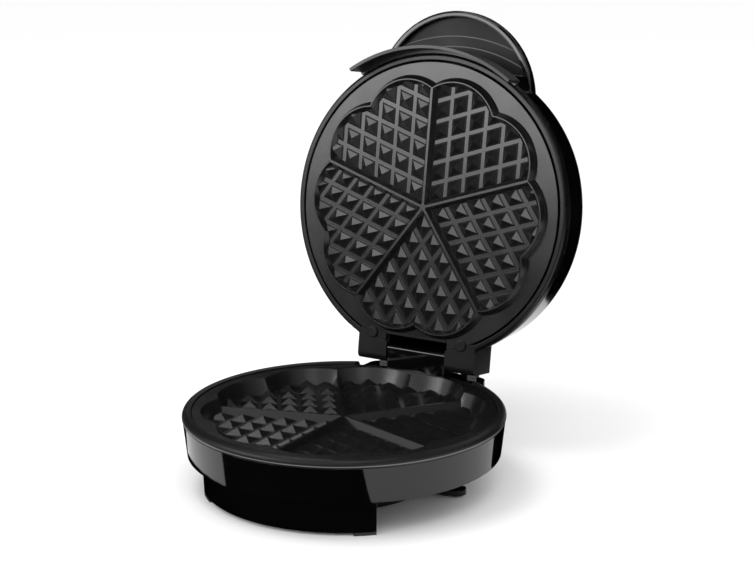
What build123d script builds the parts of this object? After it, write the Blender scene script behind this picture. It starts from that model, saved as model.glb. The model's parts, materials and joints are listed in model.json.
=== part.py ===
from build123d import *
import math
import os

# Electric waffle maker, standing open. Sizes are in millimetres.
# The base is modelled on the drum's axis, with z = 0 at the table and the hinge towards +Y.
# The lid is modelled shut, with z = 0 at its ring face and +Z away from the base, then swung open.

# Hinge, and how the two halves meet
split_height = 56.0
closed_lift = 4.4
hinge_y = 113.8
hinge_rise = 12.0
open_angle = 98.26
running_gap = 0.4

# Drum casing
drum_radius = 117.4
drum_foot_radius = 114.6
drum_height = 25.5
parting_drop = 3.0
wall = 2.4

# Bezel ring round the lower plate
bezel_bulge = 0.5
bezel_gap = 0.2
bezel_bead_radius = 4.8
bezel_bead_rise = 2.2
bezel_crest_radius = 114.3
bezel_inner_radius = 111.3
bezel_inner_drop = 0.9
rim_rest_drop = 1.0
ledge_inner_radius = 107.6
ledge_thickness = 2.4
spigot_radius = 114.2
spigot_width = 2.0
spigot_depth = 5.0
bezel_break_half_width = 52.4
bezel_break_y = 98.0

# Arc pedestals and their pads
pedestal_radius = 105.0
pedestal_foot_radius = 104.0
pedestal_inner_radius = 96.4
pedestal_wall = 2.2
pedestal_half_angle = 44.5
pedestal_end_angle = 1.3
pad_height = 2.5
pad_sweep = 8.7
pad_inset = 0.2
pad_stem_gap = 0.1
pad_stem_angle = 0.3
pad_stem_height = 5.5

# Underside
cover_radius = 95.6
cover_gap = 0.6
cover_seat = 3.0
cover_ledge_radius = 89.0
bottom_screw_radius = 92.3
bottom_screw_angles = [0, 60, 120, 180, 240, 300]
spool_radius = 59.0
spool_bottom = 1.5
spool_tab_reach = 92.0
spool_tab_root = 50.0
spool_tab_width = 14.0
spool_tab_thickness = 4.0
spool_tab_angles = [14, 166]
spool_post_place = 51.0
spool_post_radius = 3.6
spool_screw_angles = [90, 210, 330]
spool_screw_depth = 10.0

# Hinge block, tower and pins
block_half_width = 51.5
block_front_y = 98.0
block_back_y = 127.0
block_drop = 1.0
block_corner_radius = 8.0
tower_half_width = 25.6
tower_front_y = 102.6
tower_back_y = 125.0
tower_height = 24.2
tower_edge_radius = 3.0
pin_radius = 3.0
pin_clearance = 0.05
pin_inner_x = 10.0
pin_outer_x = 46.0
pin_end_gap = 1.5
stop_rib_inner_x = 30.0
stop_rib_outer_x = 44.0
stop_rib_front_y = 121.5
stop_rib_back_y = 126.0
stop_gap = 0.3
tower_screw_x = 14.0
tower_screw_y = 108.0
tower_screw_depth = 11.0
lead_window_half = 20.0
lead_window_bottom = 32.0
lead_window_top = 46.0

# Lid ring and lugs
ring_radius = 117.4
ring_bore_radius = 111.3
ring_height = 7.8
ring_edge_radius = 2.2
ring_groove_radius = 112.6
ring_groove_depth = 2.6
ring_groove_edge = 0.4
frame_spigot_radius = 113.6
frame_ledge_radius = 94.0
frame_ledge_height = 12.5
lug_inner_x = 26.0
lug_outer_x = 51.7
lug_back_y = 124.5
lug_depth = 28.0
lug_heel_radius = 5.0
notch_y = 102.2
notch_wall = 2.0
notch_wall_half_width = 27.0

# Lid cover
shell_foot_radius = 117.2
shell_foot_gap = 0.2
shell_shoulder_radius = 114.0
shell_shoulder_height = 37.0
crown_edge_radius = 104.0
crown_edge_height = 43.6
crown_height = 46.0
shell_cut_half_width = 52.0
shell_cut_y = 95.0
shell_cut_height = 28.3
shell_post_place = 104.0
shell_post_radius = 3.5
lid_screw_angles = [45, 135, 225, 315]
lid_screw_depth = 10.0
visor_centre_y = -82.6
visor_radius = 69.0
visor_height = 27.0
visor_thickness = 9.0
visor_front_edge = 1.8
visor_back_edge = 3.0
visor_root_radius = 113.2
visor_lip = 4.5
visor_recess = 7.0
visor_recess_root = 116.0
visor_recess_line = 105.4
insert_gap = 0.2
insert_thickness = 1.5
insert_step = 0.5
insert_outer_arc_radius = 132.3
insert_inner_arc_radius = 124.3
guard_inner_radius = 120.2
guard_thickness = 2.6
guard_reach = 15.0
guard_shelf = 2.4
guard_seat_gap = 0.1
guard_half_angle = 34.5

# Baking plates
plate_radius = 110.8
plate_thickness = 3.0
lobe_centre_radius = 63.0
lobe_arc_radius = 37.0
hearts = 5
crest_height = 6.0
boss_foot_run = 3.0
lip_width = 0.9
divider_half = 1.0
hub_radius = 2.7
valley_depth = 4.3
valley_run = 3.0
bar_pitch = 15.0
first_bar = 16.2
bar_width = 3.0
bar_count = 5
pyramid_height = 4.0
pyramid_root = 0.5
recess_depth = 12.0
recess_top_growth = 4.4
recess_floor_growth = -1.2
bowl_wall = 3.0
bowl_floor = 3.0
divider_reach = 94.0
divider_height = 6.0
plate_heel_y = 100.0
stud_x = 39.3
stud_y = 102.4
stud_radius = 4.5
stud_rise = 1.5
stud_edge_radius = 0.6
stud_shank_radius = 2.0
stud_shank_gap = 0.2
stud_length = 10.0
plate_post_place = 100.0
plate_post_radius = 5.0
upper_screw_angles = [20, 160, 200, 340]
upper_screw_depth = 6.5
lower_screw_place = 109.2
lower_screw_angles = [18, 162, 234, 306]
lower_screw_depth = 2.0

# Heaters, shields, switches and leads
element_radius = 3.2
element_ring_radius = 62.0
element_gap_angle = 40.0
element_pin_radius = 1.6
lower_pin_length = 8.0
upper_pin_length = 14.0
pin_setback_angle = 2.0
clamp_angles = [-90, 30, 150]
clamp_thickness = 1.0
clamp_half_width = 4.0
clamp_leg_radius = 2.0
clamp_overhang = 0.6
lower_shield_radius = 92.0
upper_shield_radius = 96.0
shield_thickness = 0.8
shield_clearance = 0.8
shield_slot_half_width = 27.0
shield_slot_y = 50.0
shield_post_place = 85.0
shield_post_radius = 3.0
shield_pip_radius = 1.5
shield_pip_gap = 0.1
shield_pip_height = 1.4
lower_switch_y = -30.0
lower_switch_radius = 8.5
lower_switch_height = 8.0
fuse_radius = 2.0
fuse_y = 30.0
fuse_span = (24.0, 37.0)
terminal_half_width = 11.0
terminal_front_y = 116.0
terminal_height = 14.0
screw_radius = 1.5
screw_head_radius = 2.8
screw_head_height = 2.0
screw_clearance = 0.05
screw_tip_gap = 0.4
wire_radius = 1.2
wire_bend = 7.0
wire_gap = 0.1
lead_bend_y = 22.0
lead_climb = 5.0
gland_x = -30.0
gland_z = 40.0
gland_bore_radius = 3.6
gland_radius = 6.0
gland_flange_radius = 8.0
gland_flange = 2.0
gland_length = 7.0
gland_clearance = 0.05

# Dial, lamps and what carries them
dial_y = -70.0
dial_radius = 19.5
dial_skirt = 4.0
dial_grip_radius = 15.0
dial_grip_height = 14.0
dial_grip_taper = 3.0
dial_gap = 0.5
dial_cavity_radius = 10.0
dial_edge_radius = 1.5
dial_recess_radius = 22.0
dial_recess_top = 44.2
dial_recess_depth = 2.4
spindle_radius = 3.0
spindle_clearance = 0.05
spindle_foot = 34.0
control_radius = 16.0
control_height = 14.2
neck_radius = 4.8
neck_top = 45.5
neck_gap = 0.2
nut_radius = 8.0
nut_height = 3.0
lamp_x = 34.0
lamp_y = -78.0
lamp_radius = 3.1
lamp_gap = 0.1
lamp_flange_radius = 4.3
lamp_flange = 1.6
lamp_rise = 0.8
lamp_seat = 41.0
board_height = 34.0
board_thickness = 1.6
board_half_length = 40.0
board_half_width = 5.0
board_y = -82.0
board_post_x = 20.0
neon_radius = 2.2

# Levels that follow from the sizes above
drum_top = split_height - parting_drop
drum_floor = drum_top - drum_height
cavity_floor = drum_floor + wall
block_top = split_height - block_drop
seat_bottom = drum_top - wall
rim_rest = split_height - rim_rest_drop
lower_rim = rim_rest + plate_thickness
lower_floor = lower_rim - recess_depth
lower_back = lower_floor - bowl_floor
lower_element_level = lower_back - element_radius
lower_strap_z = lower_back - 2 * element_radius
lower_shield_top = lower_strap_z - clamp_thickness - shield_clearance
lid_rest = split_height + closed_lift
hinge_height = lid_rest + hinge_rise
tower_top = drum_top + tower_height
upper_element_level = plate_thickness + element_radius
upper_strap_z = plate_thickness + 2 * element_radius
frame_ledge_top = frame_ledge_height + ledge_thickness
upper_shield_top = frame_ledge_top + shield_thickness
dial_recess_floor = dial_recess_top - dial_recess_depth
dial_axis_foot = dial_recess_floor - wall
wedge = math.radians(180 / hearts)
lobe_step = 180 / hearts
heart_turns = [k * 360 / hearts for k in range(hearts)]
swing_cos = math.cos(math.radians(open_angle))
swing_sin = math.sin(math.radians(open_angle))


def polar(radius, angle):
    """Plan point at a radius and an angle from +X."""
    return (radius * math.cos(math.radians(angle)), radius * math.sin(math.radians(angle)))


def radial_plane(angle):
    """Upright plane through the Z axis, with x outward at an angle and y up."""
    across = Vector(*polar(1, angle), 0)
    return Plane(origin=(0, 0, 0), x_dir=across, z_dir=across.cross(Vector(0, 0, 1)))


def ring(points, start_angle=0.0, sweep_angle=360.0):
    """Solid swept round the Z axis from a section given as (radius, height) points."""
    with BuildPart() as swept:
        with BuildSketch(radial_plane(start_angle)):
            with BuildLine():
                Polyline(*points, close=True)
            make_face()
        revolve(axis=Axis.Z, revolution_arc=sweep_angle)
    return swept.part


def block(x_span, y_span, z_span):
    """Box given by its spans along the three axes."""
    with BuildPart() as box:
        with BuildSketch(Plane.XY.offset(z_span[0])):
            with Locations(((x_span[0] + x_span[1]) / 2, (y_span[0] + y_span[1]) / 2)):
                Rectangle(x_span[1] - x_span[0], y_span[1] - y_span[0])
        extrude(amount=z_span[1] - z_span[0])
    return box.part


def posts(places, radius, z_span):
    """Upright cylinders at plan points."""
    with BuildPart() as rods:
        with BuildSketch(Plane.XY.offset(z_span[0])):
            with Locations(*places):
                Circle(radius)
        extrude(amount=z_span[1] - z_span[0])
    return rods.part


def crossbar(y, z, radius, x_span):
    """Cylinder along the X axis."""
    with BuildPart() as rod:
        with BuildSketch(Plane.YZ.offset(x_span[0])):
            with Locations((y, z)):
                Circle(radius)
        extrude(amount=x_span[1] - x_span[0])
    return rod.part


def screws(places, head_z, tip_z):
    """Pan-head screws whose heads seat at head_z and whose tips reach tip_z."""
    inward = math.copysign(1, tip_z - head_z)
    with BuildPart() as pieces:
        add(posts(places, screw_radius, sorted((head_z, tip_z))))
        add(posts(places, screw_head_radius, sorted((head_z, head_z - inward * screw_head_height))))
    return pieces.part


def wire(points):
    """Insulated lead made of straight runs joined by arcs."""
    with BuildPart() as lead:
        with BuildLine() as route:
            FilletPolyline(*points, radius=wire_bend)
        with BuildSketch(Plane(origin=route.line @ 0, z_dir=route.line % 0)):
            Circle(wire_radius)
        sweep()
    return lead.part


def turned(part, angle):
    """Copy of a part turned about the Z axis."""
    return part.moved(Location((0, 0, 0), (0, 0, angle)))


def mirrored(points):
    """Copy of a point list on the other side of the YZ plane."""
    return [(-point[0], *point[1:]) for point in points]


def flower(growth):
    """Ten-lobed outline of the bake, grown by a distance."""
    with BuildSketch() as outline:
        Circle(lobe_centre_radius)
        with PolarLocations(lobe_centre_radius, 2 * hearts, start_angle=-90 + lobe_step / 2):
            Circle(lobe_arc_radius + growth)
    return outline.sketch


def heart(growth, divider_offset):
    """One heart of the flower, between two dividers, with its lobes towards +Y."""
    reach = 2 * plate_radius
    tip = divider_offset / math.sin(wedge)
    side = reach * math.tan(wedge)
    with BuildSketch() as outline:
        add(flower(growth))
        with BuildLine():
            Polyline((0, tip), (side, tip + reach), (-side, tip + reach), close=True)
        make_face(mode=Mode.INTERSECT)
    return outline.sketch


def taper(top, top_z, bottom, bottom_z):
    """Solid between two like outlines at two heights."""
    with BuildPart() as solid:
        loft([top.moved(Location((0, 0, top_z))), bottom.moved(Location((0, 0, bottom_z)))], ruled=True)
    return solid.part


def lattice_point(from_right, from_left):
    """Plan point at given distances from a heart's two dividers."""
    x = (from_left - from_right) / (2 * math.cos(wedge))
    y = (from_left + from_right) / (2 * math.sin(wedge))
    return (x, y)


def bar_lies(index, row):
    """True where a valley bar runs beside a row of cells. The bars stop in steps short of the lobes."""
    return index < bar_count and index + row <= bar_count


def cell_span(index, row):
    """Distances from a divider to the two sides of a cell."""
    near = first_bar + (index - 1) * bar_pitch
    far = near + bar_pitch
    near_gap = bar_width / 2 if index == 0 or bar_lies(index - 1, row) else 0
    far_gap = bar_width / 2 if bar_lies(index, row) else 0
    return near + near_gap, far - far_gap


def heart_pyramids():
    """Four-sided pyramids of one heart, standing on z = 0 with a root below it."""
    spread = pyramid_root * (bar_pitch - bar_width) / 2 / pyramid_height
    with BuildPart() as field:
        for i in range(bar_count + 1):
            for j in range(bar_count + 1):
                right = cell_span(i, j)
                left = cell_span(j, i)
                if math.hypot(*lattice_point(right[0], left[0])) > lobe_centre_radius + lobe_arc_radius:
                    continue
                low = (right[0] - spread, right[1] + spread)
                side = (left[0] - spread, left[1] + spread)
                corners = [(low[0], side[0]), (low[1], side[0]), (low[1], side[1]), (low[0], side[1])]
                with BuildSketch(Plane.XY.offset(-pyramid_root), mode=Mode.PRIVATE) as base:
                    with BuildLine():
                        Polyline(*[lattice_point(*corner) for corner in corners], close=True)
                    make_face()
                peak = lattice_point(sum(right) / 2, sum(left) / 2)
                loft([base.sketch.face(), Vertex(peak[0], peak[1], pyramid_height)])
    return field.part


def pyramid_field(floor_z, growth):
    """Pyramids of one heart on a floor, trimmed to a grown flower."""
    with BuildPart() as field:
        add(one_heart.moved(Location((0, 0, floor_z))))
        with BuildSketch(Plane.XY.offset(floor_z - pyramid_root)):
            add(flower(growth))
        extrude(amount=pyramid_height + 2 * pyramid_root, mode=Mode.INTERSECT)
    return field.part


def hinge_block(inset, z_span):
    """Block behind the drum, drawn in by an inset, with rounded back corners."""
    back_y = block_back_y - inset
    with BuildPart() as solid:
        with BuildSketch(Plane.XY.offset(z_span[0])):
            with Locations((0, (block_front_y + back_y) / 2)):
                outline = Rectangle(2 * (block_half_width - inset), back_y - block_front_y)
            fillet(outline.vertices().group_by(Axis.Y)[-1], block_corner_radius - inset)
        extrude(amount=z_span[1] - z_span[0])
    return solid.part


def hinge_block_cavity():
    """Hollow of the hinge block, clear of the drum wall and of the tower's seat."""
    seat_half_width = lug_inner_x + wall
    with BuildPart() as cavity:
        add(hinge_block(wall, (cavity_floor, block_top - wall)))
        add(ring([
            (0, drum_floor),
            (drum_foot_radius, drum_floor),
            (drum_radius, drum_top),
            (0, drum_top),
        ]), mode=Mode.SUBTRACT)
        add(block((-seat_half_width, seat_half_width), (block_front_y, block_back_y),
                  (seat_bottom, block_top)), mode=Mode.SUBTRACT)
    return cavity.part


def lug_end_height(y):
    """Height of the open lid's lug ends above a given y."""
    reach = lug_back_y - hinge_y
    along = (y - hinge_y - reach * swing_cos) / swing_sin
    return hinge_height - reach * swing_sin + along * swing_cos


def pedestal(points, middle_angle, end_trim):
    """Arc of a pedestal about a middle angle, trimmed at both ends."""
    half = pedestal_half_angle - end_trim
    return ring(points, middle_angle - half, 2 * half)


def element(level, pin_z):
    """Tubular heater bent to an open ring, with a pin at each end."""
    with BuildPart() as heater:
        with BuildSketch(radial_plane(90 + element_gap_angle / 2)):
            with Locations((element_ring_radius, level)):
                Circle(element_radius)
        revolve(axis=Axis.Z, revolution_arc=360 - element_gap_angle)
        add(posts(pin_places, element_pin_radius, sorted((level, pin_z))))
    return heater.part


def element_clamps(seat_z, strap_z):
    """Straps that hold the heater to a plate, each on two legs."""
    outer_z = strap_z + math.copysign(clamp_thickness, strap_z - seat_z)
    leg_reach = element_radius + clamp_leg_radius
    reach = leg_reach + clamp_leg_radius + clamp_overhang
    inner = element_ring_radius - reach
    outer = element_ring_radius + reach
    with BuildPart() as clamps:
        for angle in clamp_angles:
            strap = block((inner, outer), (-clamp_half_width, clamp_half_width), sorted((strap_z, outer_z)))
            add(turned(strap, angle))
            legs = [polar(element_ring_radius + step, angle) for step in (-leg_reach, leg_reach)]
            add(posts(legs, clamp_leg_radius, sorted((seat_z, strap_z))))
    return clamps.part


def lens(x):
    """Lamp lens with a flange behind the lid's crown."""
    with BuildPart() as cap:
        add(posts([(x, lamp_y)], lamp_flange_radius, (lamp_seat - lamp_flange, lamp_seat)))
        add(posts([(x, lamp_y)], lamp_radius, (lamp_seat, crown_edge_height + lamp_rise + wall / 2)))
        fillet(cap.faces().sort_by(Axis.Z)[-1].edges(), lamp_rise)
    return cap.part


one_heart = heart_pyramids()
pin_angle = element_gap_angle / 2 + pin_setback_angle
pin_places = [polar(element_ring_radius, 90 - pin_angle), polar(element_ring_radius, 90 + pin_angle)]
bottom_screw_places = [polar(bottom_screw_radius, angle) for angle in bottom_screw_angles]
spool_screw_places = [polar(spool_post_place, angle) for angle in spool_screw_angles]
tower_screw_places = [(-tower_screw_x, tower_screw_y), (tower_screw_x, tower_screw_y)]
lower_screw_places = [polar(lower_screw_place, angle) for angle in lower_screw_angles]
upper_screw_places = [polar(plate_post_place, angle) for angle in upper_screw_angles]
lid_screw_places = [polar(shell_post_place, angle) for angle in lid_screw_angles]
shield_post_places = [polar(shield_post_place, angle) for angle in lower_screw_angles]
stud_places = [(-stud_x, stud_y), (stud_x, stud_y)]
lamp_places = [(-lamp_x, lamp_y), (lamp_x, lamp_y)]
loose_hole = screw_radius + screw_clearance
pedestal_section = [
    (pedestal_inner_radius, pad_height),
    (pedestal_foot_radius, pad_height),
    (pedestal_radius, drum_floor),
    (pedestal_inner_radius, drum_floor),
]
pedestal_hollow = [
    (pedestal_inner_radius + pedestal_wall, pad_height),
    (pedestal_foot_radius - pedestal_wall, pad_height),
    (pedestal_radius - pedestal_wall, drum_floor),
    (pedestal_inner_radius + pedestal_wall, drum_floor),
]

# Base

with BuildPart() as base_shell:
    drum_slope = (drum_radius - drum_foot_radius) / drum_height
    inner_foot = drum_foot_radius + wall * drum_slope - wall
    inner_top = drum_radius - wall
    add(ring([
        (cover_radius + cover_gap, drum_floor),
        (drum_foot_radius, drum_floor),
        (drum_radius, drum_top),
        (inner_top, drum_top),
        (inner_foot, cavity_floor),
        (cover_radius + cover_gap, cavity_floor),
    ]))
    add(hinge_block(0, (drum_floor, block_top)))
    add(ring([
        (0, cavity_floor),
        (inner_foot, cavity_floor),
        (inner_top, drum_top),
        (inner_top, block_top),
        (0, block_top),
    ]), mode=Mode.SUBTRACT)
    add(hinge_block_cavity(), mode=Mode.SUBTRACT)
    # Window in the drum wall for the leads
    add(block((-lead_window_half, lead_window_half), (tower_front_y, tower_back_y - wall),
              (lead_window_bottom, lead_window_top)), mode=Mode.SUBTRACT)
    # Room for the bezel
    add(posts([(0, 0)], drum_radius + bezel_bulge + bezel_gap, (drum_top, block_top)), mode=Mode.SUBTRACT)
    # Ledge that the bottom cover is screwed to
    add(ring([
        (cover_ledge_radius, cavity_floor),
        (cover_radius + cover_seat, cavity_floor),
        (cover_radius + cover_seat, cavity_floor + wall),
        (cover_ledge_radius, cavity_floor + wall),
    ]))
    # Ribs that the open lid's lugs lean back on
    with BuildSketch(Plane.YZ):
        with BuildLine():
            Polyline(
                (stop_rib_front_y, block_top - wall),
                (stop_rib_back_y, block_top - wall),
                (stop_rib_back_y, lug_end_height(stop_rib_back_y) - stop_gap),
                (stop_rib_front_y, lug_end_height(stop_rib_front_y) - stop_gap),
                close=True,
            )
        make_face()
    extrude(amount=stop_rib_outer_x, both=True)
    add(block((-stop_rib_inner_x, stop_rib_inner_x), (stop_rib_front_y, block_back_y),
              (block_top, hinge_height)), mode=Mode.SUBTRACT)
    # Seat of the hinge tower
    add(block((-lug_inner_x, lug_inner_x), (block_front_y, tower_back_y + running_gap),
              (drum_top, block_top)), mode=Mode.SUBTRACT)
    add(block((-lug_inner_x, lug_inner_x), (tower_front_y, tower_back_y - wall), (seat_bottom, drum_top)))
    for middle in (-90, 90):
        add(pedestal(pedestal_section, middle, 0))
        add(pedestal(pedestal_hollow, middle, pedestal_end_angle), mode=Mode.SUBTRACT)
    # Hole for the cord's gland in the back wall
    with BuildSketch(Plane.XZ.offset(-block_back_y)):
        with Locations((gland_x, gland_z)):
            Circle(gland_radius + gland_clearance)
    extrude(amount=wall, mode=Mode.SUBTRACT)
    add(posts(bottom_screw_places, loose_hole, (cavity_floor, cavity_floor + wall)), mode=Mode.SUBTRACT)
    add(posts(tower_screw_places, loose_hole, (seat_bottom, drum_top)), mode=Mode.SUBTRACT)

with BuildPart() as base_rim:
    bead_centre = (drum_radius + bezel_bulge - bezel_bead_radius, drum_top + bezel_bead_rise)
    crest_angle = math.degrees(math.acos((bezel_crest_radius - bead_centre[0]) / bezel_bead_radius))
    foot_angle = -math.degrees(math.asin(bezel_bead_rise / bezel_bead_radius))
    foot_radius = bead_centre[0] + bezel_bead_radius * math.cos(math.radians(foot_angle))
    crest_z = bead_centre[1] + bezel_bead_radius * math.sin(math.radians(crest_angle))
    with BuildSketch(Plane.XZ):
        with BuildLine():
            CenterArc(bead_centre, bezel_bead_radius, foot_angle, crest_angle - foot_angle)
            Polyline(
                (bezel_crest_radius, crest_z),
                (bezel_inner_radius, crest_z - bezel_inner_drop),
                (bezel_inner_radius, rim_rest),
                (ledge_inner_radius, rim_rest),
                (ledge_inner_radius, rim_rest - ledge_thickness),
                (spigot_radius - spigot_width, rim_rest - ledge_thickness),
                (spigot_radius - spigot_width, drum_top - spigot_depth),
                (spigot_radius, drum_top - spigot_depth),
                (spigot_radius, drum_top),
                (foot_radius, drum_top),
            )
        make_face()
    revolve(axis=Axis.Z)
    add(block((-bezel_break_half_width, bezel_break_half_width), (bezel_break_y, block_back_y),
              (rim_rest, crest_z + 1)), mode=Mode.SUBTRACT)
    add(block((-lug_inner_x - running_gap, lug_inner_x + running_gap), (bezel_break_y, block_back_y),
              (drum_top - spigot_depth, rim_rest)), mode=Mode.SUBTRACT)
    add(posts(lower_screw_places, loose_hole, (rim_rest - ledge_thickness, rim_rest)), mode=Mode.SUBTRACT)

with BuildPart() as lower_plate:
    bowl_growth = bowl_floor * (recess_top_growth - recess_floor_growth) / recess_depth
    add(posts([(0, 0)], plate_radius, (rim_rest, lower_rim)))
    add(taper(flower(recess_top_growth + bowl_wall), rim_rest,
              flower(recess_floor_growth + bowl_wall), lower_back))
    add(taper(flower(recess_top_growth), lower_rim, flower(recess_floor_growth), lower_floor),
        mode=Mode.SUBTRACT)
    for angle in heart_turns:
        with BuildSketch(Plane(origin=(0, 0, 0), x_dir=(*polar(1, angle), 0), z_dir=(*polar(1, angle - 90), 0))):
            with BuildLine():
                Polyline(
                    (-divider_half - valley_run, lower_floor - pyramid_root),
                    (divider_half + valley_run, lower_floor - pyramid_root),
                    (divider_half + valley_run, lower_floor),
                    (divider_half, lower_floor + divider_height),
                    (-divider_half, lower_floor + divider_height),
                    (-divider_half - valley_run, lower_floor),
                    close=True,
                )
            make_face()
        extrude(amount=divider_reach)
    add([turned(pyramid_field(lower_floor, recess_floor_growth + lip_width * 2), angle)
         for angle in heart_turns])
    add(posts([(0, 0)], hub_radius, (lower_floor - pyramid_root, lower_floor + divider_height)))
    add(block((-lug_inner_x - running_gap, lug_inner_x + running_gap), (notch_y, block_back_y),
              (lower_back, lower_rim)), mode=Mode.SUBTRACT)
    add(posts(shield_post_places, shield_post_radius, (lower_shield_top, lower_back)))
    add(posts(shield_post_places, shield_pip_radius,
              (lower_shield_top - shield_thickness - shield_pip_height, lower_shield_top)))
    add(posts(lower_screw_places, loose_hole, (rim_rest, rim_rest + lower_screw_depth + screw_tip_gap)),
        mode=Mode.SUBTRACT)

with BuildPart() as lower_plate_screws:
    add(screws(lower_screw_places, rim_rest - ledge_thickness, rim_rest + lower_screw_depth))

with BuildPart() as lower_element:
    add(element(lower_element_level, lower_element_level - lower_pin_length))

with BuildPart() as lower_element_clamps:
    add(element_clamps(lower_back, lower_strap_z))

with BuildPart() as lower_heat_shield:
    add(posts([(0, 0)], lower_shield_radius, (lower_shield_top - shield_thickness, lower_shield_top)))
    add(block((-shield_slot_half_width, shield_slot_half_width), (shield_slot_y, lower_shield_radius),
              (lower_shield_top - shield_thickness, lower_shield_top)), mode=Mode.SUBTRACT)
    add(posts(shield_post_places, shield_pip_radius + shield_pip_gap,
              (lower_shield_top - shield_thickness, lower_shield_top)), mode=Mode.SUBTRACT)

with BuildPart() as lower_thermostat:
    add(posts([(0, lower_switch_y)], lower_switch_radius, (lower_back - lower_switch_height, lower_back)))
    add(posts([(0, lower_switch_y)], lower_switch_radius + wall, (lower_back - clamp_thickness, lower_back)))

with BuildPart() as lower_thermal_fuse:
    add(crossbar(fuse_y, lower_back - fuse_radius, fuse_radius, fuse_span))

with BuildPart() as terminal_block:
    add(block((-terminal_half_width, terminal_half_width), (terminal_front_y, block_back_y - wall),
              (cavity_floor, cavity_floor + terminal_height)))

with BuildPart() as base_wiring:
    pin_x, pin_y = pin_places[0]
    lead_z = lower_element_level - lower_pin_length + wire_radius
    lead = [
        (terminal_half_width / 2, terminal_front_y, cavity_floor + terminal_height / 2),
        (terminal_half_width / 2, cover_radius + 2, cavity_floor + terminal_height / 2),
        (pin_x, cover_radius - 12, lead_z),
        (pin_x, pin_y + element_pin_radius, lead_z),
    ]
    add(wire(lead))
    add(wire(mirrored(lead)))

with BuildPart() as cord_gland:
    with BuildSketch(Plane.XZ.offset(-block_back_y)):
        with Locations((gland_x, gland_z)):
            Circle(gland_radius)
    extrude(amount=gland_length)
    with BuildSketch(Plane.XZ.offset(-block_back_y)):
        with Locations((gland_x, gland_z)):
            Circle(gland_flange_radius)
    extrude(amount=-gland_flange)
    with BuildSketch(Plane.XZ.offset(-block_back_y - gland_flange)):
        with Locations((gland_x, gland_z)):
            Circle(gland_bore_radius)
    extrude(amount=gland_length + gland_flange, mode=Mode.SUBTRACT)

with BuildPart() as bottom_cover:
    add(posts([(0, 0)], cover_radius, (drum_floor, cavity_floor)))
    add(posts(bottom_screw_places + spool_screw_places, loose_hole, (drum_floor, cavity_floor)),
        mode=Mode.SUBTRACT)

with BuildPart() as bottom_screws:
    add(screws(bottom_screw_places, drum_floor, cavity_floor + wall - screw_tip_gap))

with BuildPart() as cord_spool:
    add(ring([
        (0, spool_bottom),
        (spool_radius, spool_bottom),
        (spool_radius, drum_floor),
        (spool_radius - wall, drum_floor),
        (spool_radius - wall, spool_bottom + wall),
        (0, spool_bottom + wall),
    ]))
    for angle in spool_tab_angles:
        with BuildSketch(Plane.XY.offset(spool_bottom)):
            with Locations(polar((spool_tab_root + spool_tab_reach) / 2, angle)):
                SlotOverall(spool_tab_reach - spool_tab_root, spool_tab_width, rotation=angle)
        extrude(amount=spool_tab_thickness)
    add(posts(spool_screw_places, spool_post_radius, (spool_bottom, drum_floor)))
    add(posts(spool_screw_places, loose_hole, (drum_floor - spool_screw_depth, drum_floor)),
        mode=Mode.SUBTRACT)

with BuildPart() as spool_screws:
    add(screws(spool_screw_places, cavity_floor, drum_floor - spool_screw_depth + screw_tip_gap))

with BuildPart() as foot_pads:
    for middle in (-90, 90):
        for start in (middle - pedestal_half_angle, middle + pedestal_half_angle - pad_sweep):
            add(ring([
                (pedestal_inner_radius + pad_inset, 0),
                (pedestal_foot_radius - pad_inset, 0),
                (pedestal_foot_radius - pad_inset, pad_height),
                (pedestal_inner_radius + pad_inset, pad_height),
            ], start, pad_sweep))
            add(ring([
                (pedestal_inner_radius + pedestal_wall + pad_stem_gap, 0),
                (pedestal_foot_radius - pedestal_wall - pad_stem_gap, 0),
                (pedestal_foot_radius - pedestal_wall - pad_stem_gap, pad_height + pad_stem_height),
                (pedestal_inner_radius + pedestal_wall + pad_stem_gap, pad_height + pad_stem_height),
            ], start + pedestal_end_angle + pad_stem_angle,
                pad_sweep - 2 * (pedestal_end_angle + pad_stem_angle)))

with BuildPart() as hinge_tower:
    add(block((-tower_half_width, tower_half_width), (tower_front_y, tower_back_y), (drum_top, tower_top)))
    fillet(hinge_tower.edges().filter_by(Axis.X).group_by(Axis.Z)[-1], tower_edge_radius)
    for side in (-1, 1):
        add(crossbar(hinge_y, hinge_height, pin_radius, sorted((side * pin_inner_x, side * tower_half_width))),
            mode=Mode.SUBTRACT)
    add(posts(tower_screw_places, loose_hole, (drum_top, drum_top + tower_screw_depth)), mode=Mode.SUBTRACT)

with BuildPart() as hinge_pins:
    for side in (-1, 1):
        add(crossbar(hinge_y, hinge_height, pin_radius, sorted((side * pin_inner_x, side * pin_outer_x))))
    chamfer(hinge_pins.edges().filter_by(GeomType.CIRCLE).group_by(Axis.X)[0], pin_radius / 6)
    chamfer(hinge_pins.edges().filter_by(GeomType.CIRCLE).group_by(Axis.X)[-1], pin_radius / 6)

with BuildPart() as tower_screws:
    add(screws(tower_screw_places, seat_bottom, drum_top + tower_screw_depth - screw_tip_gap))

# Lid

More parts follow.
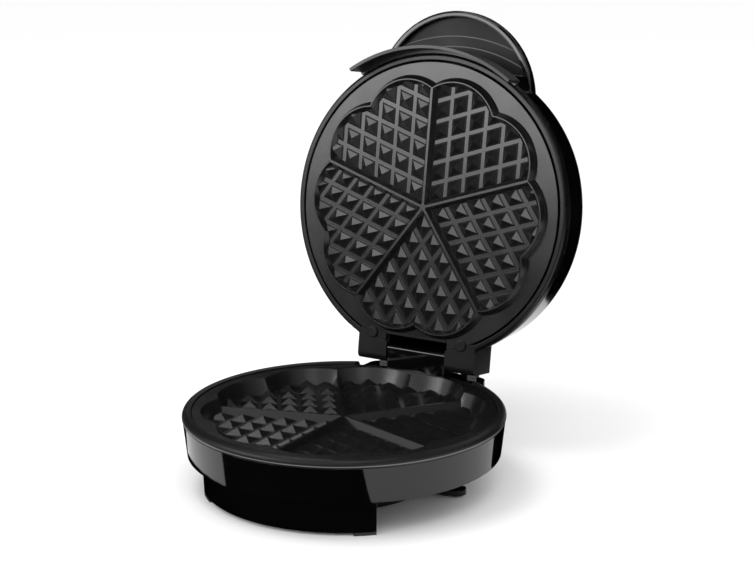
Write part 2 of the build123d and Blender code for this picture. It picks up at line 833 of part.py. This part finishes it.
with BuildPart() as lid_frame:
    with BuildSketch(Plane.XZ) as frame_section:
        with BuildLine():
            Polyline(
                (ring_bore_radius, ring_groove_depth),
                (ring_groove_radius, 0),
                (ring_radius, 0),
                (ring_radius, ring_height),
                (frame_spigot_radius, ring_height),
                (frame_spigot_radius, frame_ledge_top),
                (frame_ledge_radius, frame_ledge_top),
                (frame_ledge_radius, frame_ledge_height),
                (ring_bore_radius, frame_ledge_height),
                close=True,
            )
        make_face()
        fillet(frame_section.vertices().group_by(Axis.Y)[0].sort_by(Axis.X)[-1], ring_edge_radius)
        fillet(frame_section.vertices().group_by(Axis.Y)[0].sort_by(Axis.X)[0], ring_groove_edge)
    revolve(axis=Axis.Z)
    with BuildSketch(Plane.YZ.offset(-lug_outer_x)) as lug_section:
        with Locations(((notch_y - notch_wall + lug_back_y) / 2, lug_depth / 2)):
            Rectangle(lug_back_y - notch_y + notch_wall, lug_depth)
        heel = lug_section.vertices().group_by(Axis.X)[-1].sort_by(Axis.Y)
        fillet(heel[0], lug_heel_radius)
    extrude(amount=2 * lug_outer_x)
    add(block((-lug_inner_x, lug_inner_x), (notch_y, lug_back_y), (0, lug_depth)), mode=Mode.SUBTRACT)
    # The cross wall behind the tower's notch stands only as wide as the notch
    add(posts([(0, 0)], ring_bore_radius, (0, plate_thickness + bezel_gap)), mode=Mode.SUBTRACT)
    add(block((-notch_wall_half_width, notch_wall_half_width), (notch_y - notch_wall, notch_y),
              (0, lug_depth)))
    for side in (-1, 1):
        add(crossbar(hinge_y, hinge_rise, pin_radius + pin_clearance,
                     sorted((side * lug_inner_x, side * (pin_outer_x + pin_end_gap)))), mode=Mode.SUBTRACT)
    add(posts(stud_places, stud_shank_radius + screw_clearance, (0, stud_length + screw_tip_gap)),
        mode=Mode.SUBTRACT)
    add(posts(upper_screw_places + lid_screw_places, loose_hole, (frame_ledge_height, frame_ledge_top)),
        mode=Mode.SUBTRACT)

with BuildPart() as lid_shell:
    # Handle visor at the front: a rounded disc, cut away where the cover's wall begins
    with BuildSketch(Plane.XZ.offset(-visor_centre_y)) as visor_section:
        with Locations((visor_radius / 2, visor_height + visor_thickness / 2)):
            Rectangle(visor_radius, visor_thickness)
        fillet(visor_section.vertices().group_by(Axis.X)[-1].sort_by(Axis.Y)[0], visor_front_edge)
        fillet(visor_section.vertices().group_by(Axis.Y)[-1].sort_by(Axis.X)[-1], visor_back_edge)
    revolve(axis=Axis((0, visor_centre_y, 0), (0, 0, 1)))
    add(posts([(0, 0)], visor_root_radius, (0, crown_height)), mode=Mode.SUBTRACT)
    inner_crown = crown_height - wall
    edge_slope = 2 * (crown_height - crown_edge_height) / crown_edge_radius
    inner_edge = (crown_edge_radius - wall / 2, crown_edge_height - wall)
    shoulder_middle = (crown_edge_radius + 7.4, crown_edge_height - 2.1)
    inner_middle = (shoulder_middle[0] - 1.7, shoulder_middle[1] - 1.7)
    shell_foot_z = ring_height + shell_foot_gap
    with BuildSketch(Plane.XZ):
        with BuildLine():
            Line((shell_foot_radius, shell_foot_z), (shell_shoulder_radius, shell_shoulder_height))
            ThreePointArc((shell_shoulder_radius, shell_shoulder_height), shoulder_middle,
                          (crown_edge_radius, crown_edge_height))
            Spline((crown_edge_radius, crown_edge_height), (0, crown_height),
                   tangents=[(-1, edge_slope), (-1, 0)])
            Line((0, crown_height), (0, inner_crown))
            Spline((0, inner_crown), inner_edge, tangents=[(1, 0), (1, -edge_slope)])
            ThreePointArc(inner_edge, inner_middle, (shell_shoulder_radius - wall, shell_shoulder_height))
            Line((shell_shoulder_radius - wall, shell_shoulder_height), (shell_foot_radius - wall, shell_foot_z))
            Line((shell_foot_radius - wall, shell_foot_z), (shell_foot_radius, shell_foot_z))
        make_face()
    revolve(axis=Axis.Z)
    with BuildSketch(Plane.XY.offset(visor_height)):
        with Locations((0, visor_centre_y)):
            Circle(visor_radius - visor_lip)
        Circle(visor_recess_root, mode=Mode.SUBTRACT)
        with Locations((0, -visor_recess_line - visor_radius)):
            Rectangle(4 * visor_radius, 2 * visor_radius, mode=Mode.INTERSECT)
    extrude(amount=visor_recess, mode=Mode.SUBTRACT)
    # Dial recess
    add(posts([(0, dial_y)], dial_recess_radius + wall, (dial_axis_foot, crown_edge_height)))
    add(posts([(0, dial_y)], dial_recess_radius, (dial_recess_floor, crown_height)), mode=Mode.SUBTRACT)
    add(posts([(0, dial_y)], neck_radius + neck_gap, (dial_axis_foot, dial_recess_floor)), mode=Mode.SUBTRACT)
    add(posts(lamp_places, lamp_radius + lamp_gap, (lamp_seat, crown_height)), mode=Mode.SUBTRACT)
    # Posts for the lid screws and the lamp board
    add(posts(lid_screw_places, shell_post_radius, (frame_ledge_top, crown_edge_height - 2 * wall / 3)))
    add(posts([(-board_post_x, board_y), (board_post_x, board_y)], shell_post_radius,
              (board_height + board_thickness, dial_recess_floor - wall / 2)))
    add(posts(lid_screw_places, loose_hole, (frame_ledge_top, frame_ledge_top + lid_screw_depth)),
        mode=Mode.SUBTRACT)
    add(block((-shell_cut_half_width, shell_cut_half_width), (shell_cut_y, lug_back_y),
              (ring_height, shell_cut_height)), mode=Mode.SUBTRACT)

with BuildPart() as handle_guard:
    guard_outer_radius = guard_inner_radius + guard_thickness
    add(ring([
        (guard_inner_radius, -guard_reach),
        (guard_outer_radius, -guard_reach),
        (guard_outer_radius, guard_shelf),
        (ring_radius + guard_seat_gap, guard_shelf),
        (ring_radius + guard_seat_gap, 0),
        (guard_inner_radius, 0),
    ], -90 - guard_half_angle, 2 * guard_half_angle))

with BuildPart() as handle_underside:
    insert_level = visor_height + visor_recess - insert_thickness
    for step, reach in enumerate([visor_radius - visor_centre_y, insert_outer_arc_radius, insert_inner_arc_radius]):
        with BuildSketch(Plane.XY.offset(insert_level - step * insert_step)):
            with Locations((0, visor_centre_y)):
                Circle(visor_radius - visor_lip - insert_gap)
            with Locations((0, -visor_recess_line - insert_gap - visor_radius)):
                Rectangle(4 * visor_radius, 2 * visor_radius, mode=Mode.INTERSECT)
            Circle(reach, mode=Mode.INTERSECT)
            Circle(visor_recess_root + insert_gap, mode=Mode.SUBTRACT)
        extrude(amount=insert_thickness + step * insert_step)

with BuildPart() as upper_plate:
    # Built with its bake side up and turned over at the end.
    add(posts([(0, 0)], plate_radius, (-plate_thickness, 0)))
    add(taper(flower(boss_foot_run), 0, flower(0), crest_height))
    pocket = taper(heart(-lip_width, divider_half), crest_height,
                   heart(-lip_width - valley_run, divider_half + valley_run), crest_height - valley_depth)
    add([turned(pocket, angle) for angle in heart_turns], mode=Mode.SUBTRACT)
    add([turned(pyramid_field(crest_height - valley_depth, -lip_width), angle) for angle in heart_turns])
    add(posts([(0, 0)], hub_radius, (crest_height - valley_depth - pyramid_root, crest_height)))
    add(block((-notch_wall_half_width - bezel_gap, notch_wall_half_width + bezel_gap),
              (plate_heel_y, ring_radius), (-plate_thickness, crest_height)), mode=Mode.SUBTRACT)
    add(posts(upper_screw_places, plate_post_radius, (-frame_ledge_height, -plate_thickness)))
    add(posts(upper_screw_places, loose_hole,
              (-frame_ledge_height, -frame_ledge_height + upper_screw_depth + screw_tip_gap)),
        mode=Mode.SUBTRACT)
    add(posts(stud_places, stud_shank_radius + stud_shank_gap, (-plate_thickness, 0)), mode=Mode.SUBTRACT)
    mirror(about=Plane.XY, mode=Mode.REPLACE)

with BuildPart() as plate_studs:
    add(posts(stud_places, stud_radius, (-stud_rise, 0)))
    fillet(plate_studs.faces().group_by(Axis.Z)[0].edges(), stud_edge_radius)
    add(posts(stud_places, stud_shank_radius, (0, stud_length)))

with BuildPart() as upper_plate_screws:
    add(screws(upper_screw_places, frame_ledge_top, frame_ledge_height - upper_screw_depth))

with BuildPart() as upper_element:
    add(element(upper_element_level, upper_element_level + upper_pin_length))

with BuildPart() as upper_element_clamps:
    add(element_clamps(plate_thickness, upper_strap_z))

with BuildPart() as upper_heat_shield:
    add(posts([(0, 0)], upper_shield_radius, (frame_ledge_top, upper_shield_top)))
    add(block((-shield_slot_half_width, shield_slot_half_width), (shield_slot_y, shield_slot_y + 20),
              (frame_ledge_top, upper_shield_top)), mode=Mode.SUBTRACT)

with BuildPart() as upper_thermal_fuse:
    add(crossbar(fuse_y, plate_thickness + fuse_radius, fuse_radius, fuse_span))

with BuildPart() as dial_thermostat:
    add(posts([(0, dial_y)], control_radius, (upper_shield_top, upper_shield_top + control_height)))
    add(posts([(0, dial_y)], neck_radius, (upper_shield_top + control_height, neck_top)))
    add(posts([(0, dial_y)], spindle_radius + spindle_clearance, (spindle_foot - dial_gap, neck_top)),
        mode=Mode.SUBTRACT)

with BuildPart() as dial_nut:
    with BuildSketch(Plane.XY.offset(dial_recess_floor)):
        with Locations((0, dial_y)):
            RegularPolygon(nut_radius, 6)
            Circle(neck_radius, mode=Mode.SUBTRACT)
    extrude(amount=nut_height)

with BuildPart() as lid_wiring:
    pin_x, pin_y = pin_places[0]
    lead_z = upper_element_level + upper_pin_length - wire_radius
    lead_x = control_radius / 2
    lead_end_y = dial_y + wire_gap + math.sqrt(control_radius ** 2 - (lead_x - wire_radius) ** 2)
    lead = [
        (pin_x, pin_y - element_pin_radius, lead_z),
        (pin_x, lead_bend_y, lead_z),
        (lead_x, 0, lead_z + lead_climb),
        (lead_x, lead_end_y, lead_z + lead_climb),
    ]
    add(wire(lead))
    add(wire(mirrored(lead)))

with BuildPart() as power_lamp_lens:
    add(lens(-lamp_x))

with BuildPart() as ready_lamp_lens:
    add(lens(lamp_x))

with BuildPart() as lamp_board:
    board_top = board_height + board_thickness
    add(block((-board_half_length, board_half_length), (board_y - board_half_width, board_y + board_half_width),
              (board_height, board_top)))
    add(posts(lamp_places, neon_radius, (board_top, lamp_seat - lamp_flange)))
    add(posts([(0, dial_y)], neck_radius + 1, (board_height, board_top)), mode=Mode.SUBTRACT)

with BuildPart() as lid_screws:
    add(screws(lid_screw_places, frame_ledge_height, frame_ledge_top + lid_screw_depth - screw_tip_gap))

# Dial

with BuildPart() as thermostat_dial:
    dial_foot = dial_recess_floor + dial_gap
    grip_top = dial_foot + dial_grip_height
    cavity_top = dial_foot + dial_skirt
    with BuildSketch(Plane.XY.offset(dial_foot)):
        with Locations((0, dial_y)):
            Circle(dial_radius)
    extrude(amount=dial_skirt)
    fillet(thermostat_dial.faces().sort_by(Axis.Z)[-1].edges(), dial_edge_radius)
    with BuildSketch(Plane.XY.offset(cavity_top)):
        with Locations((0, dial_y)):
            Circle(dial_grip_radius)
    extrude(amount=grip_top - cavity_top, taper=dial_grip_taper)
    fillet(thermostat_dial.faces().sort_by(Axis.Z)[-1].edges(), dial_edge_radius)
    add(posts([(0, dial_y)], dial_cavity_radius, (dial_foot, cavity_top)), mode=Mode.SUBTRACT)
    add(posts([(0, dial_y)], spindle_radius, (spindle_foot, cavity_top)))

base_pieces = {
    "base_shell": base_shell,
    "base_rim": base_rim,
    "lower_plate": lower_plate,
    "lower_plate_screws": lower_plate_screws,
    "lower_element": lower_element,
    "lower_element_clamps": lower_element_clamps,
    "lower_heat_shield": lower_heat_shield,
    "lower_thermostat": lower_thermostat,
    "lower_thermal_fuse": lower_thermal_fuse,
    "terminal_block": terminal_block,
    "base_wiring": base_wiring,
    "cord_gland": cord_gland,
    "bottom_cover": bottom_cover,
    "bottom_screws": bottom_screws,
    "cord_spool": cord_spool,
    "spool_screws": spool_screws,
    "foot_pads": foot_pads,
    "hinge_tower": hinge_tower,
    "hinge_pins": hinge_pins,
    "tower_screws": tower_screws,
}
lid_pieces = {
    "lid_frame": lid_frame,
    "lid_shell": lid_shell,
    "handle_guard": handle_guard,
    "handle_underside": handle_underside,
    "upper_plate": upper_plate,
    "plate_studs": plate_studs,
    "upper_plate_screws": upper_plate_screws,
    "upper_element": upper_element,
    "upper_element_clamps": upper_element_clamps,
    "upper_heat_shield": upper_heat_shield,
    "upper_thermal_fuse": upper_thermal_fuse,
    "dial_thermostat": dial_thermostat,
    "dial_nut": dial_nut,
    "lid_wiring": lid_wiring,
    "power_lamp_lens": power_lamp_lens,
    "ready_lamp_lens": ready_lamp_lens,
    "lamp_board": lamp_board,
    "lid_screws": lid_screws,
    "thermostat_dial": thermostat_dial,
}

# Swing the lid open about the hinge, then centre the whole over the origin.
lid_lift = Location((0, 0, lid_rest))
hinge_axis = Axis((0, hinge_y, hinge_height), (1, 0, 0))
placed = {name: piece.part for name, piece in base_pieces.items()}
for name, piece in lid_pieces.items():
    placed[name] = piece.part.moved(lid_lift).rotate(hinge_axis, -open_angle)
boxes = [part.bounding_box() for part in placed.values()]
middle_y = (min(box.min.Y for box in boxes) + max(box.max.Y for box in boxes)) / 2
centring = Location((0, -middle_y, 0))

os.makedirs("parts", exist_ok=True)
for name, part in placed.items():
    centred = part.moved(centring)
    centred.label = name
    export_step(centred, f"parts/{name}.step")

dial_foot_point = Vector(0, dial_y - hinge_y, lid_rest + dial_axis_foot - hinge_height)
dial_axis_point = dial_foot_point.rotate(Axis.X, -open_angle) + Vector(0, hinge_y - middle_y, hinge_height)
dial_direction = Vector(0, 0, 1).rotate(Axis.X, -open_angle)
print("shift in y", round(-middle_y, 4))
print("hinge axis through", (0, round(hinge_y - middle_y, 4), round(hinge_height, 4)))
print("dial axis through", dial_axis_point, "along", dial_direction)
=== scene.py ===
import json
import math
import bpy
from mathutils import Matrix, Vector

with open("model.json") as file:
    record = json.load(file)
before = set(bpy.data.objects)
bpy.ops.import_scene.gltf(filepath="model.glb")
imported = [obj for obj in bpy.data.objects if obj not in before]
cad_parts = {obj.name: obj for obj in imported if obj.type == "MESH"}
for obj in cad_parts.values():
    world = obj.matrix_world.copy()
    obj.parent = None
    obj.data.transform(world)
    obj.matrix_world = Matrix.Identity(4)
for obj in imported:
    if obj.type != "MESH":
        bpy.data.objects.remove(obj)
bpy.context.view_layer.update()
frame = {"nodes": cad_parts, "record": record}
nodes = frame["nodes"]

scene = bpy.context.scene
scene.view_settings.view_transform = "Standard"

# Camera at the photograph's viewpoint
camera_place = (0.6362, -1.0289, 0.4399)
right = Vector((0.8533, 0.5214, 0.0)).normalized()
forward = Vector((-0.5064, 0.8287, -0.2382)).normalized()
up = right.cross(forward).normalized()
camera_data = bpy.data.cameras.new("camera")
camera_data.sensor_width = 36.0
camera_data.lens = 81.01
camera_data.clip_start = 0.05
camera_data.clip_end = 50.0
camera = bpy.data.objects.new("camera", camera_data)
scene.collection.objects.link(camera)
turn = Matrix((right, up, -forward)).transposed().to_4x4()
camera.matrix_world = Matrix.Translation(camera_place) @ turn
scene.camera = camera


# Places on the object that materials refer to, in metres
lid_opening = math.radians(98.26)
lid_cos, lid_sin = math.cos(lid_opening), math.sin(lid_opening)
lid_up = (0, -lid_cos, lid_sin)
plate_outward = (0, -lid_sin, -lid_cos)
hinge_y, hinge_z = 0.0797816, 0.0724
lid_reach = 0.1138
lid_centre = lid_reach - hinge_y * lid_cos + hinge_z * lid_sin
# Radii of the two painted highlight lines on the handle's insert, about the lid's axis
insert_highlight_arcs = (0.1323, 0.1243)
# Height of the thin painted highlight along the base's parting line
parting_highlight_height = 0.0545
dial_height = 0.266911
upper_floor_offset = 0.0549
# Middle height of the painted shade band at the foot of the upper plate's pyramids
foot_shade_middle = 0.00045


# Materials

noise_low, noise_high = 0.3, 0.7
grain_depth = 0.0002
scratch_depth = 0.0001
bevel_samples = 6


def new_material(name):
    """Empty material with its node tree and its shader."""
    material = bpy.data.materials.new(name)
    material.use_nodes = True
    tree = material.node_tree
    return material, tree, tree.nodes["Principled BSDF"]


def noise(tree, scale, detail=4.0, roughness=0.5):
    """Noise in the object's own coordinates."""
    place = tree.nodes.new("ShaderNodeTexCoord")
    texture = tree.nodes.new("ShaderNodeTexNoise")
    texture.inputs["Scale"].default_value = scale
    texture.inputs["Detail"].default_value = detail
    texture.inputs["Roughness"].default_value = roughness
    tree.links.new(place.outputs["Object"], texture.inputs["Vector"])
    return texture.outputs["Fac"]


def spread(tree, source, low, high):
    """Maps the usual span of a noise to a range."""
    node = tree.nodes.new("ShaderNodeMapRange")
    node.inputs["From Min"].default_value = noise_low
    node.inputs["From Max"].default_value = noise_high
    node.inputs["To Min"].default_value = low
    node.inputs["To Max"].default_value = high
    tree.links.new(source, node.inputs["Value"])
    return node.outputs["Result"]


def tones(tree, source, stops):
    """Colour ramp over a noise, from two (position, colour) stops."""
    ramp = tree.nodes.new("ShaderNodeValToRGB")
    for element, (position, colour) in zip(ramp.color_ramp.elements, stops):
        element.position = position
        element.color = (*colour, 1)
    tree.links.new(source, ramp.inputs["Fac"])
    return ramp.outputs["Color"]


def painted(tree, mask, base, tone):
    """A grey tone laid over a colour where a mask is 1."""
    mix = tree.nodes.new("ShaderNodeMixRGB")
    mix.inputs["Color2"].default_value = (tone, tone, tone, 1)
    tree.links.new(mask, mix.inputs["Fac"])
    tree.links.new(base, mix.inputs["Color1"])
    return mix.outputs["Color"]


def bump(tree, shader, source, strength, distance, edge=0.0):
    """Fine relief on a shader, over edges that are slightly rounded off."""
    node = tree.nodes.new("ShaderNodeBump")
    node.inputs["Strength"].default_value = strength
    node.inputs["Distance"].default_value = distance
    tree.links.new(source, node.inputs["Height"])
    tree.links.new(node.outputs["Normal"], shader.inputs["Normal"])
    if edge:
        bevel = tree.nodes.new("ShaderNodeBevel")
        bevel.samples = bevel_samples
        bevel.inputs["Radius"].default_value = edge
        tree.links.new(bevel.outputs["Normal"], node.inputs["Normal"])


def maths(tree, operation, *terms):
    """Math node on sockets and plain numbers."""
    node = tree.nodes.new("ShaderNodeMath")
    node.operation = operation
    for socket, term in zip(node.inputs, terms):
        if isinstance(term, float):
            socket.default_value = term
        else:
            tree.links.new(term, socket)
    return node.outputs["Value"]


def object_axis(tree, direction):
    """Coordinate of a surface point along a direction, in the object's own frame."""
    place = tree.nodes.new("ShaderNodeTexCoord")
    node = tree.nodes.new("ShaderNodeVectorMath")
    node.operation = "DOT_PRODUCT"
    node.inputs[1].default_value = direction
    tree.links.new(place.outputs["Object"], node.inputs[0])
    return node.outputs["Value"]


def lid_radius(tree):
    """Distance of a surface point from the lid's own axis."""
    along = maths(tree, "SUBTRACT", lid_centre, object_axis(tree, lid_up))
    across = object_axis(tree, (1, 0, 0))
    squares = [maths(tree, "POWER", side, 2.0) for side in (along, across)]
    return maths(tree, "SQRT", maths(tree, "ADD", *squares))


def table_height(tree):
    """Height of a surface point above the table."""
    return object_axis(tree, (0, 0, 1))


def upper_floor_height(tree):
    """Height of a surface point above the floor between the upper plate's pyramids."""
    return maths(tree, "ADD", object_axis(tree, plate_outward), upper_floor_offset)


def pointer_offset(tree):
    """How far a surface point lies from the line that runs up from the dial's centre."""
    below = maths(tree, "SUBTRACT", dial_height, object_axis(tree, lid_up))
    aside = maths(tree, "ABSOLUTE", object_axis(tree, (1, 0, 0)))
    return maths(tree, "ADD", aside, maths(tree, "MAXIMUM", below, 0.0))


def line_mask(tree, measure, places, half_width):
    """Mask that is 1 where a measure of the surface takes given values, and fades beside them."""
    distance = measure(tree)
    mask = 0.0
    for place in places:
        off = maths(tree, "ABSOLUTE", maths(tree, "SUBTRACT", distance, place))
        fade = maths(tree, "MINIMUM", maths(tree, "DIVIDE", off, half_width), 1.0)
        mask = maths(tree, "MAXIMUM", maths(tree, "SUBTRACT", 1.0, fade), mask)
    return mask


def plastic(name, colour, roughness, grain_scale, grain,
            mottle=0.25, specular=0.5, edge=0.0005, lines=None):
    """Moulded plastic with a fine grain, a little unevenness, and fine lines where given, which
    serve as painted highlights along edges and as a printed pointer.
    """
    material, tree, shader = new_material(name)
    cloud = noise(tree, 22.0)
    finish = tones(tree, cloud, [
        (noise_low, [c * (1 - mottle) for c in colour]),
        (noise_high, [c * (1 + mottle) for c in colour]),
    ])
    if lines:
        *place, tone = lines
        finish = painted(tree, line_mask(tree, *place), finish, tone)
    tree.links.new(finish, shader.inputs["Base Color"])
    gloss = spread(tree, cloud, roughness * 0.85, roughness * 1.15)
    tree.links.new(gloss, shader.inputs["Roughness"])
    shader.inputs["Specular IOR Level"].default_value = specular
    bump(tree, shader, noise(tree, grain_scale, 2.0), grain, grain_depth, edge)
    return material


def metal(name, colour, roughness, grain_scale=900.0):
    """Plain metal with fine scratches in its gloss."""
    material, tree, shader = new_material(name)
    shader.inputs["Base Color"].default_value = (*colour, 1)
    shader.inputs["Metallic"].default_value = 1.0
    cloud = noise(tree, grain_scale)
    gloss = spread(tree, cloud, roughness * 0.7, roughness * 1.3)
    tree.links.new(gloss, shader.inputs["Roughness"])
    bump(tree, shader, cloud, 0.1, scratch_depth)
    return material


def coated(name, foot=None):
    """Dark semi-gloss coating on a cast plate: fine speckle, and where given a painted shade at
    the pyramids' foot, near black and rougher there.
    """
    material, tree, shader = new_material(name)
    speckle = noise(tree, 2600.0, 3.0, 0.6)
    cloud = noise(tree, 35.0)
    finish = tones(tree, speckle, [
        (0.35, (0.003, 0.003, 0.0035)),
        (0.75, (0.011, 0.0105, 0.0115)),
    ])
    roughness = spread(tree, cloud, 0.20, 0.26)
    # Painted shade: the band at the pyramids' foot is painted near black and made rougher, where
    # crevice shade falls
    if foot:
        mask = line_mask(tree, *foot)
        finish = painted(tree, mask, finish, 0.0005)
        roughness = maths(tree, "ADD", roughness, maths(tree, "MULTIPLY", mask, 0.7))
    tree.links.new(finish, shader.inputs["Base Color"])
    tree.links.new(roughness, shader.inputs["Roughness"])
    shader.inputs["Specular IOR Level"].default_value = 0.5
    bump(tree, shader, speckle, 0.12, grain_depth, 0.0003)
    return material


gloss_tone = (0.0014, 0.0013, 0.0013)
satin_tone = (0.004, 0.004, 0.0042)

# One look for each material slot of the record, and closer ones for single nodes
looks = {
    "gloss_black": plastic("gloss_black", gloss_tone, 0.07, 320.0, 0.03),
    "satin_black": plastic("satin_black", satin_tone, 0.28, 1800.0, 0.15, specular=0.32),
    "coated_plate": coated("coated_plate"),
    "heater_steel": metal("heater_steel", (0.35, 0.35, 0.36), 0.4),
    "shield_sheet": metal("shield_sheet", (0.75, 0.76, 0.77), 0.3),
    "steel": metal("steel", (0.6, 0.6, 0.61), 0.3),
    "phenolic": plastic("phenolic", (0.08, 0.05, 0.03), 0.4, 900.0, 0.2),
    "lead_sleeve": plastic("lead_sleeve", (0.7, 0.69, 0.65), 0.6, 2500.0, 0.5),
    "pad_rubber": plastic("pad_rubber", (0.02, 0.02, 0.02), 0.7, 1500.0, 0.4),
    "lens_red": plastic("lens_red", (0.45, 0.02, 0.015), 0.12, 300.0, 0.02),
    "lens_green": plastic("lens_green", (0.02, 0.35, 0.05), 0.12, 300.0, 0.02),
    "board": plastic("board", (0.1, 0.2, 0.06), 0.5, 900.0, 0.2),
}
finer_looks = {
    # The base rim carries a thin painted highlight along its parting line, standing in for the
    # light caught at that edge
    "base_rim": plastic(
        "satin_rim_painted_highlight", (0.008, 0.008, 0.0085), 0.4, 2200.0, 0.35, specular=0.3,
        lines=(table_height, (parting_highlight_height,), 0.0006, 0.16)),
    "lid_shell": plastic("gloss_lid", gloss_tone, 0.07, 320.0, 0.03, edge=0.0017),
    "handle_guard": plastic("satin_guard", (0.008, 0.008, 0.0085), 0.34, 1800.0, 0.2),
    # The upper plate gets a painted shade at the foot of its pyramids
    "upper_plate": coated("coated_upper_painted_shade", (upper_floor_height, (foot_shade_middle,), 0.0004)),
    "thermostat_dial": plastic(
        "satin_dial", satin_tone, 0.28, 1800.0, 0.15, specular=0.32,
        lines=(pointer_offset, (0.0,), 0.001, 0.6)),
    # The handle's insert carries two thin painted highlights along its arcs, standing in for
    # light caught on its step edges
    "handle_underside": plastic(
        "matt_insert_painted_highlights", (0.009, 0.009, 0.010), 0.46, 2600.0, 0.3, specular=0.24,
        lines=(lid_radius, insert_highlight_arcs, 0.0006, 0.14)),
}
for part in frame["record"]["subparts"]:
    body = nodes[part["node"]]
    body.data.materials.clear()
    body.data.materials.append(finer_looks.get(part["node"], looks[part["material_slot"]]))


# Floor, backdrop and light

def stage_plane(name, corners, material):
    """Flat stage piece through its corners."""
    mesh = bpy.data.meshes.new(name)
    mesh.from_pydata(corners, [], [tuple(range(len(corners)))])
    mesh.materials.append(material)
    plane = bpy.data.objects.new(name, mesh)
    scene.collection.objects.link(plane)
    return plane


floor_material, floor_tree, floor_shader = new_material("floor")
floor_shader.inputs["Base Color"].default_value = (0.98, 0.98, 0.98, 1)
floor_shader.inputs["Roughness"].default_value = 0.9
floor_shader.inputs["Specular IOR Level"].default_value = 0.1
stage_plane("floor", [(-8, -8, 0), (8, -8, 0), (8, 8, 0), (-8, 8, 0)], floor_material)

world = bpy.data.worlds.new("world")
scene.world = world
world.use_nodes = True
sky = world.node_tree.nodes["Background"]
sky.inputs["Color"].default_value = (1, 1, 1, 1)
sky.inputs["Strength"].default_value = 1.0


def lamp(name, place, target, size, power):
    """Rectangular soft lamp aimed at a point."""
    data = bpy.data.lights.new(name, "AREA")
    data.shape = "RECTANGLE"
    data.size, data.size_y = size
    data.energy = power
    light = bpy.data.objects.new(name, data)
    scene.collection.objects.link(light)
    light.location = place
    light.rotation_mode = "QUATERNION"
    light.rotation_quaternion = (Vector(target) - Vector(place)).to_track_quat("-Z", "Y")


lamp("key", (-1.25, -2.05, 0.84), (0, 0.1, 0.45), (1.4, 0.84), 21.0)
lamp("top_left", (-0.33, -0.45, 1.5), (0, 0.1, 0.2), (0.7, 0.55), 5.0)
lamp("top_right", (0.66, -0.81, 1.2), (0, 0.1, 0.2), (0.6, 0.5), 3.6)

flag_material, flag_tree, flag_shader = new_material("flag")
flag_tree.nodes.remove(flag_shader)
dark = flag_tree.nodes.new("ShaderNodeEmission")
dark.inputs["Color"].default_value = (0, 0, 0, 1)
dark.inputs["Strength"].default_value = 0.0
flag_tree.links.new(dark.outputs["Emission"],
                    flag_tree.nodes["Material Output"].inputs["Surface"])


def flag(name, corners):
    """Black studio card that only reflections see."""
    card = stage_plane(name, corners, flag_material)
    card.visible_camera = False
    card.visible_diffuse = False
    card.visible_transmission = False
    card.visible_volume_scatter = False
    card.visible_shadow = False


def upright_flag(name, start, end, start_height, end_height):
    """Card that stands on the floor between two floor points."""
    flag(name, [(*start, 0), (*end, 0), (*end, end_height), (*start, start_height)])


back_y = 1.7
upright_flag("flag_back", (-2, back_y), (2, back_y), 1.15, 1.15)
upright_flag("flag_right", (2, -3), (2, back_y), 1.3, 1.3)
upright_flag("flag_left", (-2, -0.6), (-2, back_y), 3, 3)
flag("flag_top", [(-3, -3, 2.4), (3, -3, 2.4), (3, back_y, 2.4), (-3, back_y, 2.4)])
upright_flag("flag_horizon", (-1.25, -0.5), (0.15, -1.3), 0.08, 0.48)

drum_y = -0.034
card_lift = 0.001


def around(radius, angle):
    """Floor point at a distance and a bearing from the drum's axis."""
    bearing = math.radians(angle)
    return (radius * math.cos(bearing), drum_y + radius * math.sin(bearing))


def floor_flag(name, points):
    """Card that lies just above the floor."""
    flag(name, [(*point, card_lift) for point in points])


# Each floor card leaves white the floor that a pale panel of the gloss walls mirrors
floor_flag("flag_front", [
    around(0.09, -100), around(0.1165, -108.5), around(0.14, -115.5), around(0.155, -120),
    around(0.197, -128.2), around(0.45, -138), around(1.2, -150), around(1.3, -90),
    around(1.2, -45), around(0.45, -52), around(0.203, -48.6), around(0.16, -46),
    around(0.155, -45.5), around(0.146, -38), around(0.12, -38), around(0.09, -60),
])
floor_flag("flag_foot", [around(0.09, angle) for angle in range(-215, -95, 10)]
           + [around(0.15, angle) for angle in range(-105, -220, -10)])
floor_flag("flag_block", [
    around(0.12, 28), around(0.148, 32), around(0.169, 38), around(0.195, 43.7),
    (0.5, 0.11), (0.5, 0.335), (0.13, 0.335), (0.13, 0.24), (-0.1, 0.235), around(0.12, 100),
])
floor_flag("flag_left_edge", [
    around(0.12, -168), around(0.15, -170), around(0.195, -176), around(0.34, -180),
    around(0.34, -250), around(0.12, -250),
])
floor_flag("flag_floor_left", [(-2, -0.6), (-0.34, -0.6), (-0.34, 0.5), (-2, 0.9)])
floor_flag("flag_floor_back", [
    (0.04, 0.335), (2, 0.335), (2, back_y), (0.3, back_y), (0.18, 0.9),
])
